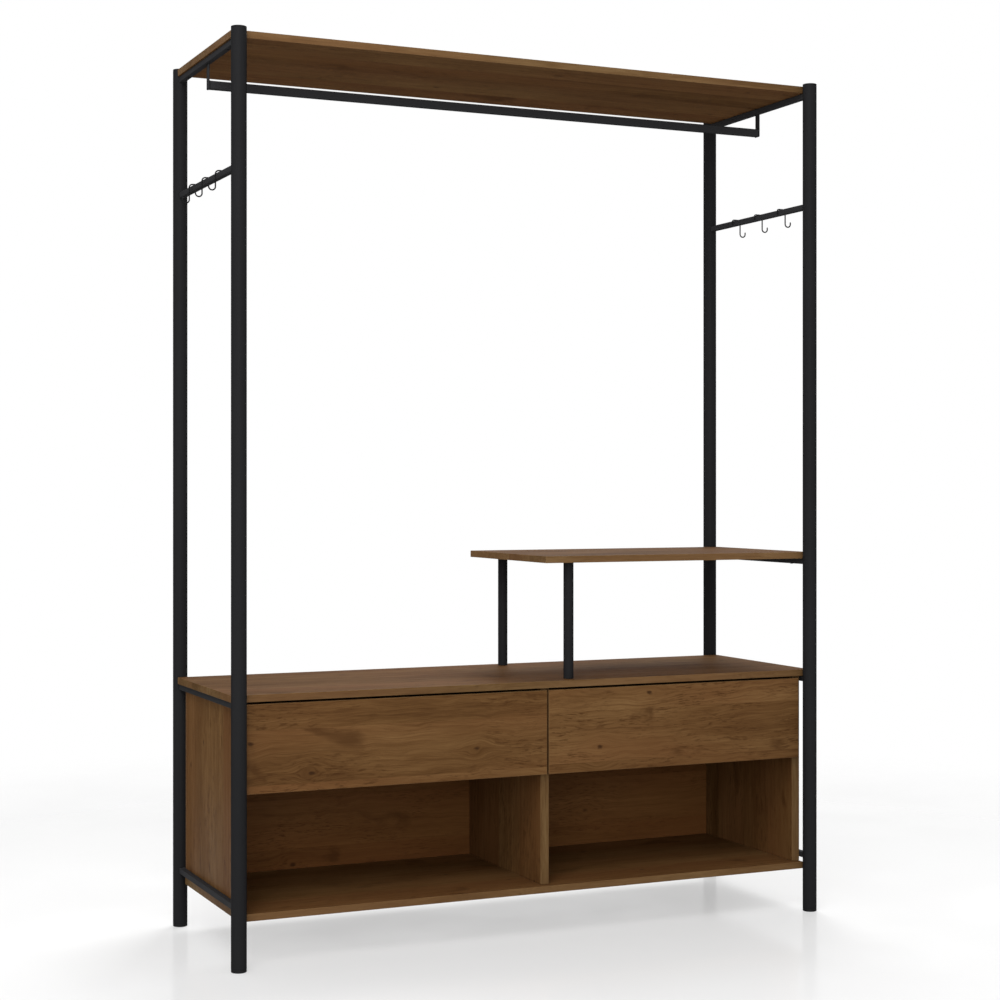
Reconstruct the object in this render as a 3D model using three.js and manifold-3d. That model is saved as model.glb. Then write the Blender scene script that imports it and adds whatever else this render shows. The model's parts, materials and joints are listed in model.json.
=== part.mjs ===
// A free-standing hall tree: a black steel frame with a clothes rod, S-hooks on two rails,
// wood-grain shelves and a low cabinet with two drawers over two open compartments.
// Millimetres. +X is to the right, +Y is to the back, +Z is up.
// The origin is on the floor, in the middle of the four posts.
import * as THREE from "three";
import { mergeVertices } from "three/addons/utils/BufferGeometryUtils.js";
import Module from "manifold-3d";

const wasm = await Module();
wasm.setup();

// ---------------------------------------------------------------- driving dimensions
const WIDTH = 1390; // over the outsides of the posts
const DEPTH = 480;
const HEIGHT = 1900;
const FIT_GAP = 0.3; // between two separate pieces that rest on each other

const POST_DIAMETER = 31.75; // 1 1/4 inch round tube
const SHELF_POST_DIAMETER = 22.2; // 7/8 inch round tube
const RAIL_SIZE = 12.7; // 1/2 inch square tube
const RAIL_CORNER = 1.5;
const ROD_SIZE = 17;
const TUBE_WALL = 1.2;

const BOARD = 15; // lying boards and drawer fronts
const UPRIGHT = 20; // standing boards
const BACK_SHEET = 6;

const CAP_HEIGHT = 3;
const FOOT_HEIGHT = 6;
const PLUG_LENGTH = 14; // the part of a cap or foot that is pushed into its tube

const BENCH_TOP_Z = 553.5; // upper face of each lying board
const BASE_BOARD_TOP_Z = 110;
const SIDE_SHELF_TOP_Z = 824;
const TOP_SHELF_TOP_Z = HEIGHT - CAP_HEIGHT;
const BASE_RAIL_BOTTOM_Z = 119;
const HOOK_RAIL_Z = 1619.6; // centre of the rail
const ROD_BOTTOM_Z = 1815.5;

const SHELF_OVERHANG = 10; // of the shelves past the centres of the posts
const PARTITION_X = 19; // the cabinet's inner wall stands right of the middle
const SIDE_SHELF_LEFT_X = 14;
const SIDE_SHELF_BACK_GAP = 6;
const SHELF_POST_X = 85;
const SHELF_POST_Y = 174;
const FRONT_SETBACK = 2; // from the back of the drawer fronts to the standing boards
const BACK_SHEET_SETBACK = 5;

const FRONT_BOTTOM_Z = 351.7;
const FRONT_HEIGHT = 182;
const FRONT_SPLIT = 4.6; // between the two drawer fronts
const FRONT_POST_GAP = 3.6;

const BOX_WALL = 12; // the drawer boxes
const BOX_HEIGHT = 120;
const BOX_LENGTH = 350;
const BOX_BOTTOM_Z = 374;
const BOX_BOTTOM = 3;
const GROOVE_DEPTH = 5;
const GROOVE_Z = 8; // above the lower edge of the drawer's sides
const SLIDE_SPACE = 13; // between a drawer box and the cabinet, for one slide
const SLIDE_HEIGHT = 35;
const SLIDE_SHEET = 1.2;
const SLIDE_LIP = 6;

const HOOK_WIRE = 3;
const HOOK_BEND_RADIUS = 7.2; // every radius on a hook is to the middle of the wire
const HOOK_INNER_RADIUS = 4;
const HOOK_SHANK_X = 13.1; // from the middle of the rail, outwards
const HOOK_INNER_X = -8.4;
const HOOK_TOP_Z = 8.4; // over the middle of the rail
const HOOK_TAIL_Z = -4;
const HOOK_BEND_Z = -25.2; // centre of the lower bend
const HOOK_TIP = 5;
const HOOK_SPACING = 101;
const HOOK_STEPS = 40;

const ROUND_SIDES = 32;

// ---------------------------------------------------------------- derived dimensions
const POST_RADIUS = POST_DIAMETER / 2;
const POST_X = WIDTH / 2 - POST_RADIUS;
const POST_Y = DEPTH / 2 - POST_RADIUS;
const TUBE_BOTTOM_Z = FOOT_HEIGHT + FIT_GAP;
const TUBE_TOP_Z = HEIGHT - CAP_HEIGHT - FIT_GAP;

const BOARD_FRONT_Y = -POST_Y + POST_RADIUS + FIT_GAP; // the boards fit between the posts
const BOARD_BACK_Y = -BOARD_FRONT_Y;
const SHELF_END_X = POST_X + SHELF_OVERHANG;
const PANEL_OUTER_X = POST_X - RAIL_SIZE / 2 - FIT_GAP;
const PANEL_INNER_X = PANEL_OUTER_X - UPRIGHT;
const UPRIGHT_FRONT_Y = BOARD_FRONT_Y + BOARD + FRONT_SETBACK;
const BACK_SHEET_Y = BOARD_BACK_Y - BACK_SHEET_SETBACK - BACK_SHEET; // its front face
const UPRIGHT_BACK_Y = BACK_SHEET_Y - FIT_GAP;
const UPRIGHT_BOTTOM_Z = BASE_BOARD_TOP_Z + FIT_GAP;
const UPRIGHT_TOP_Z = BENCH_TOP_Z - BOARD - FIT_GAP;

const BENCH_RAIL_Z = BENCH_TOP_Z - BOARD - FIT_GAP - RAIL_SIZE / 2;
const BASE_RAIL_Z = BASE_RAIL_BOTTOM_Z + RAIL_SIZE / 2;
const TOP_RAIL_Z = TOP_SHELF_TOP_Z - BOARD - FIT_GAP - RAIL_SIZE / 2;
const SIDE_SHELF_RAIL_Z = SIDE_SHELF_TOP_Z - BOARD - FIT_GAP - RAIL_SIZE / 2;

const HANGER_SHEET = 2;
const ROD_HALF_LENGTH = POST_X - HANGER_SHEET / 2 - FIT_GAP;
const FRONT_END_X = POST_X - POST_RADIUS - FRONT_POST_GAP;
const BOX_FRONT_Y = BOARD_FRONT_Y + BOARD + FIT_GAP;

// ---------------------------------------------------------------- materials
const paint = new THREE.MeshStandardMaterial({ color: 0x1b1b1c, roughness: 0.45, metalness: 0.3 });
const plastic = new THREE.MeshStandardMaterial({ color: 0x141414, roughness: 0.55, metalness: 0 });
const wood = new THREE.MeshStandardMaterial({ color: 0x5f3e22, roughness: 0.6, metalness: 0 });
const boxBoard = new THREE.MeshStandardMaterial({ color: 0x6b4a2c, roughness: 0.7, metalness: 0 });
const zinc = new THREE.MeshStandardMaterial({ color: 0xa8abae, roughness: 0.35, metalness: 0.9 });

// ---------------------------------------------------------------- the scene graph
const hallTree = new THREE.Group();

function addPiece(name, geometry, material, x = 0, y = 0, z = 0) {
  const mesh = new THREE.Mesh(geometry, material.clone());
  mesh.name = name;
  mesh.position.set(x, y, z);
  hallTree.add(mesh);
  return mesh;
}

// ---------------------------------------------------------------- shapes
function box(low, high) {
  const size = high.map((value, axis) => value - low[axis]);
  const middle = high.map((value, axis) => (value + low[axis]) / 2);
  return new THREE.BoxGeometry(...size).translate(...middle);
}

function solidOf(geometry) {
  const bare = geometry.clone();
  bare.deleteAttribute("normal");
  bare.deleteAttribute("uv");
  const merged = mergeVertices(bare, 1e-4);
  return new wasm.Manifold(
    new wasm.Mesh({
      numProp: 3,
      vertProperties: merged.attributes.position.array,
      triVerts: new Uint32Array(merged.index.array),
    }),
  );
}

function geometryOf(solid) {
  const mesh = solid.getMesh();
  const geometry = new THREE.BufferGeometry();
  geometry.setAttribute("position", new THREE.BufferAttribute(mesh.vertProperties, 3));
  geometry.setIndex(new THREE.BufferAttribute(mesh.triVerts, 1));
  geometry.computeVertexNormals();
  return geometry;
}

function cut(geometry, ...tools) {
  const solid = tools.reduce((rest, tool) => rest.subtract(solidOf(tool)), solidOf(geometry));
  return geometryOf(solid);
}

// A round tube standing on z = 0.
function roundTube(diameter, length) {
  const section = new THREE.Shape().absarc(0, 0, diameter / 2, 0, 2 * Math.PI);
  section.holes.push(new THREE.Path().absarc(0, 0, diameter / 2 - TUBE_WALL, 0, 2 * Math.PI));
  return new THREE.ExtrudeGeometry(section, {
    depth: length,
    bevelEnabled: false,
    curveSegments: ROUND_SIDES / 2,
  });
}

// The outline of a square with rounded corners, around the origin.
function roundedSquare(outline, size, corner) {
  const reach = size / 2 - corner;
  const corners = [[1, 1], [-1, 1], [-1, -1], [1, -1]];
  corners.forEach(([sideX, sideY], index) => {
    const start = (index * Math.PI) / 2;
    outline.absarc(sideX * reach, sideY * reach, corner, start, start + Math.PI / 2);
  });
  return outline;
}

// A square tube along +Z, standing on z = 0.
function squareTube(size, length) {
  const section = roundedSquare(new THREE.Shape(), size, RAIL_CORNER);
  section.holes.push(roundedSquare(new THREE.Path(), size - 2 * TUBE_WALL, RAIL_CORNER - TUBE_WALL));
  return new THREE.ExtrudeGeometry(section, { depth: length, bevelEnabled: false, curveSegments: 2 });
}

// A plug with a flange the size of the tube. Its profile runs from the tip of the plug up to
// the flange's outer face, with a small round on the rim.
function tubeEnd(flangeHeight, rimRound) {
  const plugRadius = POST_RADIUS - TUBE_WALL - FIT_GAP;
  const rimCentre = new THREE.Vector2(POST_RADIUS - rimRound, flangeHeight - rimRound);
  const rim = [0, 1, 2, 3].map((step) => {
    const angle = (step * Math.PI) / 6;
    const arm = new THREE.Vector2(Math.cos(angle), Math.sin(angle)).multiplyScalar(rimRound);
    return rimCentre.clone().add(arm);
  });
  const profile = [
    new THREE.Vector2(0, -PLUG_LENGTH),
    new THREE.Vector2(plugRadius, -PLUG_LENGTH),
    new THREE.Vector2(plugRadius, 0),
    new THREE.Vector2(POST_RADIUS, 0),
    ...rim,
    new THREE.Vector2(0, flangeHeight),
  ];
  return new THREE.LatheGeometry(profile, ROUND_SIDES).rotateX(Math.PI / 2);
}

// A channel along +Y whose web lies on x = 0 and whose lips point to +X.
function channel(height, depth, lip, length) {
  const sheet = SLIDE_SHEET;
  const top = height / 2;
  const section = new THREE.Shape();
  section.moveTo(0, -top);
  section.lineTo(depth, -top);
  section.lineTo(depth, -top + lip);
  section.lineTo(depth - sheet, -top + lip);
  section.lineTo(depth - sheet, -top + sheet);
  section.lineTo(sheet, -top + sheet);
  section.lineTo(sheet, top - sheet);
  section.lineTo(depth - sheet, top - sheet);
  section.lineTo(depth - sheet, top - lip);
  section.lineTo(depth, top - lip);
  section.lineTo(depth, top);
  section.lineTo(0, top);
  section.closePath();
  const extruded = new THREE.ExtrudeGeometry(section, { depth: length, bevelEnabled: false });
  return extruded.rotateX(Math.PI / 2).translate(0, length, 0);
}

// ---------------------------------------------------------------- posts, caps and feet
const SIDES = { left: -1, right: 1 };
const ENDS = { front: -1, back: 1 };

for (const [end, endSign] of Object.entries(ENDS)) {
  for (const [side, sideSign] of Object.entries(SIDES)) {
    const place = [sideSign * POST_X, endSign * POST_Y];
    const tube = roundTube(POST_DIAMETER, TUBE_TOP_Z - TUBE_BOTTOM_Z);
    addPiece(`post_${end}_${side}`, tube, paint, ...place, TUBE_BOTTOM_Z);
    addPiece(`cap_${end}_${side}`, tubeEnd(CAP_HEIGHT, 0.8), plastic, ...place, HEIGHT - CAP_HEIGHT);
    const foot = addPiece(`foot_${end}_${side}`, tubeEnd(FOOT_HEIGHT, 1.5), plastic, ...place, FOOT_HEIGHT);
    foot.rotation.x = Math.PI;
  }
}

// ---------------------------------------------------------------- rails between front and back posts
// Each end is coped to the round post that it is welded to.
function sideRail() {
  const rail = squareTube(RAIL_SIZE, 2 * POST_Y).translate(0, 0, -POST_Y).rotateX(Math.PI / 2);
  const copes = [-POST_Y, POST_Y].map((y) => {
    const cope = new THREE.CylinderGeometry(
      POST_RADIUS + FIT_GAP,
      POST_RADIUS + FIT_GAP,
      2 * RAIL_SIZE,
      ROUND_SIDES,
    );
    return cope.rotateX(Math.PI / 2).translate(0, y, 0);
  });
  return cut(rail, ...copes);
}

for (const [side, sideSign] of Object.entries(SIDES)) {
  const x = sideSign * POST_X;
  addPiece(`top_rail_${side}`, sideRail(), paint, x, 0, TOP_RAIL_Z);
  addPiece(`hook_rail_${side}`, sideRail(), paint, x, 0, HOOK_RAIL_Z);
  addPiece(`bench_rail_${side}`, sideRail(), paint, x, 0, BENCH_RAIL_Z);
  addPiece(`base_rail_${side}`, sideRail(), paint, x, 0, BASE_RAIL_Z);
}
addPiece("side_shelf_rail", sideRail(), paint, POST_X, 0, SIDE_SHELF_RAIL_Z);

// ---------------------------------------------------------------- clothes rod
const rod = squareTube(ROD_SIZE, 2 * ROD_HALF_LENGTH).rotateY(Math.PI / 2);
addPiece("clothes_rod", rod, paint, -ROD_HALF_LENGTH, 0, ROD_BOTTOM_Z + ROD_SIZE / 2);

for (const [side, sideSign] of Object.entries(SIDES)) {
  const topZ = TOP_RAIL_Z - RAIL_SIZE / 2 - FIT_GAP;
  const strap = box(
    [-HANGER_SHEET / 2, -ROD_SIZE / 2, ROD_BOTTOM_Z],
    [HANGER_SHEET / 2, ROD_SIZE / 2, topZ],
  );
  addPiece(`rod_hanger_${side}`, strap, paint, sideSign * POST_X, 0, 0);
}

// ---------------------------------------------------------------- shelves and cabinet boards
function lyingBoard(name, lowX, highX, topZ, backY = BOARD_BACK_Y) {
  addPiece(name, box([lowX, BOARD_FRONT_Y, topZ - BOARD], [highX, backY, topZ]), wood);
}

function standingBoard(name, lowX) {
  const low = [lowX, UPRIGHT_FRONT_Y, UPRIGHT_BOTTOM_Z];
  const high = [lowX + UPRIGHT, UPRIGHT_BACK_Y, UPRIGHT_TOP_Z];
  addPiece(name, box(low, high), wood);
}

lyingBoard("top_shelf", -SHELF_END_X, SHELF_END_X, TOP_SHELF_TOP_Z);
lyingBoard("bench_top", -SHELF_END_X, SHELF_END_X, BENCH_TOP_Z);
lyingBoard("base_board", -PANEL_OUTER_X, PANEL_OUTER_X, BASE_BOARD_TOP_Z);
lyingBoard(
  "side_shelf",
  SIDE_SHELF_LEFT_X,
  SHELF_END_X,
  SIDE_SHELF_TOP_Z,
  BOARD_BACK_Y - SIDE_SHELF_BACK_GAP,
);
standingBoard("side_panel_left", -PANEL_OUTER_X);
standingBoard("side_panel_right", PANEL_INNER_X);
standingBoard("partition", PARTITION_X - UPRIGHT / 2);

const backSheet = box(
  [-PANEL_OUTER_X, BACK_SHEET_Y, UPRIGHT_BOTTOM_Z],
  [PANEL_OUTER_X, BACK_SHEET_Y + BACK_SHEET, UPRIGHT_TOP_Z],
);
addPiece("back_panel", backSheet, wood);

// ---------------------------------------------------------------- posts under the side shelf
for (const [end, endSign] of Object.entries(ENDS)) {
  const bottomZ = BENCH_TOP_Z + FIT_GAP;
  const topZ = SIDE_SHELF_TOP_Z - BOARD - FIT_GAP;
  const tube = roundTube(SHELF_POST_DIAMETER, topZ - bottomZ);
  addPiece(`shelf_post_${end}`, tube, paint, SHELF_POST_X, endSign * SHELF_POST_Y, bottomZ);
}

// ---------------------------------------------------------------- S-hooks
// A flat path stood upright, in the XZ plane.
class UprightPath extends THREE.Curve {
  constructor(path) {
    super();
    this.path = path;
  }

  getPoint(t, target = new THREE.Vector3()) {
    const point = this.path.getPoint(t);
    return target.set(point.x, 0, point.y);
  }
}

// The middle of the wire, from the middle of the rail, with x pointing away from the hall tree:
// up the inner face of the rail, over its top, down a shank and round a bend that opens outwards.
function hookLine() {
  const topStart = HOOK_INNER_X + HOOK_INNER_RADIUS;
  const topEnd = HOOK_SHANK_X - HOOK_BEND_RADIUS;
  const bendX = HOOK_SHANK_X + HOOK_BEND_RADIUS;
  const path = new THREE.Path();
  path.moveTo(HOOK_INNER_X, HOOK_TAIL_Z);
  path.lineTo(HOOK_INNER_X, HOOK_TOP_Z - HOOK_INNER_RADIUS);
  path.absarc(topStart, HOOK_TOP_Z - HOOK_INNER_RADIUS, HOOK_INNER_RADIUS, Math.PI, Math.PI / 2, true);
  path.lineTo(topEnd, HOOK_TOP_Z);
  path.absarc(topEnd, HOOK_TOP_Z - HOOK_BEND_RADIUS, HOOK_BEND_RADIUS, Math.PI / 2, 0, true);
  path.lineTo(HOOK_SHANK_X, HOOK_BEND_Z);
  path.absarc(bendX, HOOK_BEND_Z, HOOK_BEND_RADIUS, Math.PI, 2 * Math.PI, false);
  path.lineTo(bendX + HOOK_BEND_RADIUS, HOOK_BEND_Z + HOOK_TIP);
  return new UprightPath(path);
}

function hookWire() {
  const section = new THREE.Shape().absarc(0, 0, HOOK_WIRE / 2, 0, 2 * Math.PI);
  return new THREE.ExtrudeGeometry(section, {
    steps: HOOK_STEPS,
    curveSegments: 4,
    extrudePath: hookLine(),
  });
}

const HOOK_ROWS = { front: -HOOK_SPACING, middle: 0, back: HOOK_SPACING };
for (const [side, sideSign] of Object.entries(SIDES)) {
  for (const [row, y] of Object.entries(HOOK_ROWS)) {
    const hook = addPiece(`s_hook_${side}_${row}`, hookWire(), paint, sideSign * POST_X, y, HOOK_RAIL_Z);
    if (side === "left") hook.rotation.z = Math.PI;
  }
}

// ---------------------------------------------------------------- drawers and their slides
// A drawer fills one bay of the cabinet. Its front closes the box as its fourth side.
function addDrawer(name, bayLowX, bayHighX, frontLowX, frontHighX) {
  const lowX = bayLowX + SLIDE_SPACE;
  const highX = bayHighX - SLIDE_SPACE;
  const boxTopZ = BOX_BOTTOM_Z + BOX_HEIGHT;
  const boxBackY = BOX_FRONT_Y + BOX_LENGTH;
  const bottomZ = BOX_BOTTOM_Z + GROOVE_Z;
  const groove = box(
    [lowX + BOX_WALL - GROOVE_DEPTH, BOX_FRONT_Y - GROOVE_DEPTH, bottomZ - FIT_GAP],
    [highX - BOX_WALL + GROOVE_DEPTH, boxBackY + GROOVE_DEPTH, bottomZ + BOX_BOTTOM + FIT_GAP],
  );

  const front = box(
    [frontLowX, BOARD_FRONT_Y, FRONT_BOTTOM_Z],
    [frontHighX, BOARD_FRONT_Y + BOARD, FRONT_BOTTOM_Z + FRONT_HEIGHT],
  );
  addPiece(`${name}_front`, cut(front, groove), wood);

  const leftSide = box([lowX, BOX_FRONT_Y, BOX_BOTTOM_Z], [lowX + BOX_WALL, boxBackY, boxTopZ]);
  addPiece(`${name}_left_side`, cut(leftSide, groove), boxBoard);
  const rightSide = box([highX - BOX_WALL, BOX_FRONT_Y, BOX_BOTTOM_Z], [highX, boxBackY, boxTopZ]);
  addPiece(`${name}_right_side`, cut(rightSide, groove), boxBoard);

  const back = box(
    [lowX + BOX_WALL + FIT_GAP, boxBackY - BOX_WALL, bottomZ + BOX_BOTTOM + FIT_GAP],
    [highX - BOX_WALL - FIT_GAP, boxBackY, boxTopZ],
  );
  addPiece(`${name}_back`, back, boxBoard);

  const inset = GROOVE_DEPTH - FIT_GAP;
  const bottom = box(
    [lowX + BOX_WALL - inset, BOX_FRONT_Y - GROOVE_DEPTH + 2 * FIT_GAP, bottomZ],
    [highX - BOX_WALL + inset, boxBackY, bottomZ + BOX_BOTTOM],
  );
  addPiece(`${name}_bottom`, bottom, boxBoard);

  addSlide(`${name}_left`, bayLowX + FIT_GAP, 1);
  addSlide(`${name}_right`, bayHighX - FIT_GAP, -1);
}

// A slide has two channels: the cabinet's, and a smaller one on the drawer that runs inside it.
function addSlide(name, wallX, inwards) {
  const z = BOX_BOTTOM_Z + BOX_HEIGHT / 2;
  const reach = SLIDE_SPACE - 2 * FIT_GAP;
  const runner = channel(SLIDE_HEIGHT, reach - 2 * SLIDE_SHEET, SLIDE_LIP, BOX_LENGTH);
  const carried = channel(
    SLIDE_HEIGHT - 2 * SLIDE_LIP - 2,
    reach - 2 * SLIDE_SHEET,
    SLIDE_SHEET + 1,
    BOX_LENGTH,
  );
  const outer = addPiece(`${name}_cabinet_slide`, runner, zinc, wallX, BOX_FRONT_Y, z);
  const inner = addPiece(`${name}_drawer_slide`, carried, zinc, wallX + inwards * reach, BOX_FRONT_Y, z);
  if (inwards > 0) inner.scale.x = -1;
  else outer.scale.x = -1;
}

const partitionLeft = PARTITION_X - UPRIGHT / 2;
const partitionRight = PARTITION_X + UPRIGHT / 2;
const splitLeft = PARTITION_X - FRONT_SPLIT / 2;
const splitRight = PARTITION_X + FRONT_SPLIT / 2;
addDrawer("left_drawer", -PANEL_INNER_X, partitionLeft, -FRONT_END_X, splitLeft);
addDrawer("right_drawer", partitionRight, PANEL_INNER_X, splitRight, FRONT_END_X);

export default hallTree;
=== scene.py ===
import json
import math

import bmesh
import bpy
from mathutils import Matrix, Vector

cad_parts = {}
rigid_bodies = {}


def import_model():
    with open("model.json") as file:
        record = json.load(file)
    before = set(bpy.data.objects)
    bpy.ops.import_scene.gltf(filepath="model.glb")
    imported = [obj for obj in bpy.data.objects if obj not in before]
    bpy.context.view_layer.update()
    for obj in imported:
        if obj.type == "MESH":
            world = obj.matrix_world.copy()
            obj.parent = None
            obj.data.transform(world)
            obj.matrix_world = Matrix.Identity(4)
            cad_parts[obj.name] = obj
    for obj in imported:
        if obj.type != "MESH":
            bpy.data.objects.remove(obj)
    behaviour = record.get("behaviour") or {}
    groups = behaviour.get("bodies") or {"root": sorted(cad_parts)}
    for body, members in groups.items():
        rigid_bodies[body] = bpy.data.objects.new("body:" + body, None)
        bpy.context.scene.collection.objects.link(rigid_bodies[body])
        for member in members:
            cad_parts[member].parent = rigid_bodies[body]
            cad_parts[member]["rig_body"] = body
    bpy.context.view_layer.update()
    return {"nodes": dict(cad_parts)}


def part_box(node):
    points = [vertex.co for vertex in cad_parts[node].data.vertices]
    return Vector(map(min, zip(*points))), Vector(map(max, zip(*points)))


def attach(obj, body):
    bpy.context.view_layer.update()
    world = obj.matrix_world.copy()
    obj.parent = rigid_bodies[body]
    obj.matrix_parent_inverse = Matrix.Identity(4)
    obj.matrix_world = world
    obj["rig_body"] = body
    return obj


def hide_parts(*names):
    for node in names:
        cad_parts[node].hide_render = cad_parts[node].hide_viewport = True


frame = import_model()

BODY_OF = {node: piece["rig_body"] for node, piece in frame["nodes"].items()}

# ---------------------------------------------------------------- camera, floor and light: values
CAMERA_PLACE = (-1.8074, -3.9776, 0.9777)
CAMERA_TURN = math.radians(-24.4237)
CAMERA_SENSOR = 36  # millimetres
CAMERA_LENS = 69.594  # millimetres
CAMERA_SHIFT_Y = -0.014666

FLOOR_RADIUS = 4.0
FLOOR_FADE = (1.1, 3.0)  # from the middle, where the floor dissolves into the white room
FLOOR_COLOUR = (0.5, 0.5, 0.5, 1)
FLOOR_SPECULAR = 0.25
FLOOR_ROUGHNESS = (0.12, 0.2)
FLOOR_GLOW = 0.44  # for the camera alone, which keeps the shadows pale

AMBIENT = 0.62  # how bright the room is as light
# How bright the room looks in a gloss, by how steeply the gloss looks up, from the horizon on.
# The bright band lies where the floor mirrors the room, and the boards mirror the dim part below it.
MIRROR_STOPS = [(0.0, 0.0), (0.17, 0.02), (0.195, 0.6), (0.24, 0.6), (0.28, 0.05), (0.9, 0.3)]

# Each light: its place, the point that it looks at, the side of its square, and its power in watts.
LIGHTS = {
    "key_light": ((-2.2, -2.6, 3.9), (0, 0, 0.8), 2.0, 74),
    "back_light": ((1.6, 2.2, 4.3), (0, -0.2, 0.3), 2.2, 150),
    "front_light": ((-1.8, -4.2, 1.5), (0, 0, 0.5), 2.4, 67),
    "left_light": ((-3.6, -0.6, 1.2), (0, 0, 0.7), 2.0, 10),
}

# ---------------------------------------------------------------- dimensions
ROUND_SIDES = 64  # around a post, a cap or a foot
TUBE_WALL = 0.0012
TUBE_RIM_ROUND = 0.0003
RAIL_CORNER = 0.0015
CORNER_STEPS = 5  # on each corner of a square tube

PLUG_PLAY = 0.0003  # between a cap's plug and its tube
PLUG_CHAMFER = 0.001
FLANGE_INSET = 0.0002  # of the flange's lower edge, from the post's surface
END_FLAT = 0.0008  # radius of the small flats in the middle of a cap or a foot
RIM_STEPS = 6
CROWN_STEPS = 5
CAP_RIM = 0.0008
CAP_CROWN = 0.0003
FOOT_RIM = 0.0015
FOOT_CROWN = 0.0

WELD_RADIUS = 0.0011
WELD_RIPPLE = 0.00016
WELD_RIPPLES = 22  # around one end of a rail
WELD_SIDES = 8

HANGER_ROUND = 0.0005
HANGER_WELD_INSET = 0.001  # from each end of a rod hanger's top

HOOK_BEND_RADIUS = 0.0072  # every radius on a hook is to the middle of the wire
HOOK_INNER_RADIUS = 0.004
HOOK_SHANK_X = 0.0131  # from the middle of the rail, outwards
HOOK_TAIL_Z = -0.004  # how low the wire ends inside the rail, from the rail's middle
HOOK_TIP = 0.005  # how far the wire goes on straight past the lower bend
HOOK_ARC_STEPS = 14  # in a half turn
HOOK_SIDES = 16
HOOK_DOME = [math.radians(angle) for angle in (80, 60, 40, 20)]  # on each end of the wire

BOARD_ROUND = 0.0008  # on the edges of the laminated boards
BOX_ROUND = 0.0004  # on the thinner boards of the drawer boxes
ROUND_STEPS = 3
GROOVE_PLAY = 0.0002  # around a drawer's bottom
FIRST_INSET = 0.001  # any small one: its corners then move to the groove's corners

SLIDE_SHEET = 0.0012
SLIDE_BEND = 0.0014  # to the middle of the sheet
SLIDE_BEND_STEPS = 4
CABINET_SLIDE_LIP = 0.006
DRAWER_SLIDE_LIP = 0.0022
SLIDE_SCREW_PLACES = (0.035, 0.16, 0.31)  # from the slide's front end

SCREW_RADIUS = 0.0035
SCREW_HEIGHT = 0.0012
SCREW_SIDES = 24
RAIL_SCREW_INSET = 0.075  # from the posts' centres
NAIL_RADIUS = 0.0016
NAIL_HEIGHT = 0.0005
NAIL_SPACING = 0.075
# Rings of a screw's head, then of its cross recess, as shares of its radius and its height.
HEAD_RINGS = [(1.0, 0.0), (1.0, 0.35), (0.9, 0.75), (0.7, 0.95), (0.5, 1.0)]
RECESS_RINGS = [(0.42, 0.96), (0.16, 0.3)]
RECESS_WAIST = 0.45  # the cross recess between its arms, as a share of its reach along them

# An edge steeper than this stays sharp in the shading.
SHARP = math.radians(35)
SHARP_ON_BOARDS = math.radians(60)
SHARP_ON_HOOKS = math.radians(80)
FACING = 0.75  # the part of a face's normal along an axis, from which the face looks that way

# ---------------------------------------------------------------- node trees


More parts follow.
